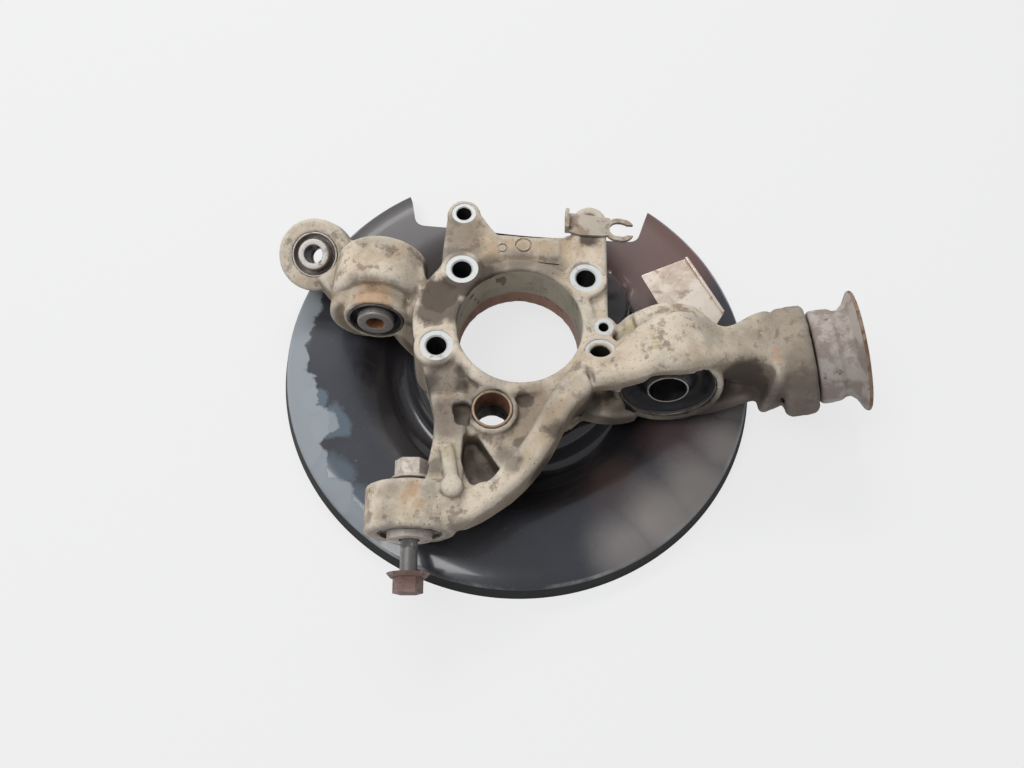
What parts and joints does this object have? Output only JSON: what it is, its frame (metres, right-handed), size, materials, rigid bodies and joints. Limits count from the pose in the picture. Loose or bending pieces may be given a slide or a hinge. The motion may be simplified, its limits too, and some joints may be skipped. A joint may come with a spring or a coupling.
{
  "type": "wheel hub carrier with dust shield",
  "caption": "Rear wheel hub carrier: dusty aluminium knuckle with suspension bushes, lying on its black pressed-steel brake dust shield.",
  "frame": {"origin": "centre of the hub bore at the casting's outboard face", "axes": "+Z along the hub axis, pointing inboard and up as it lies; +Y towards the caliper lugs"},
  "size_m": [0.4126, 0.32, 0.1026],
  "materials": {
    "cast_aluminium": "dusty sand-cast aluminium with bright machined seats",
    "black_paint": "worn glossy black paint on pressed steel sheet",
    "bush_steel": "dull turned steel",
    "rubber": "black rubber",
    "rusty_steel": "rusty steel",
    "dull_steel": "dusty dull steel with brown stains",
    "plate_metal": "stained bare plate"
  },
  "bodies": {
    "root": {"knuckle_casting": "cast_aluminium", "dust_shield": "black_paint", "shield_screws": "dull_steel", "lower_bore_liner": "rusty_steel", "camber_outer_sleeve": "bush_steel", "camber_rubber": "rubber", "camber_inner_sleeve": "bush_steel", "upper_outer_sleeve": "bush_steel", "upper_rubber": "rubber", "upper_inner_sleeve": "bush_steel", "toe_outer_sleeve": "bush_steel", "toe_rubber": "rubber", "toe_inner_sleeve": "bush_steel", "lower_outer_sleeve": "bush_steel", "lower_rubber": "rubber", "lower_inner_sleeve": "bush_steel", "trailing_outer_sleeve": "bush_steel", "trailing_rubber": "rubber", "trailing_inner_sleeve": "bush_steel", "trailing_bell_mouth": "dull_steel", "toe_link_bolt": "rusty_steel", "toe_link_nut": "dull_steel", "hose_bracket": "dull_steel", "bracket_screw": "dull_steel", "label_plate": "plate_metal"}
  },
  "joints": []
}
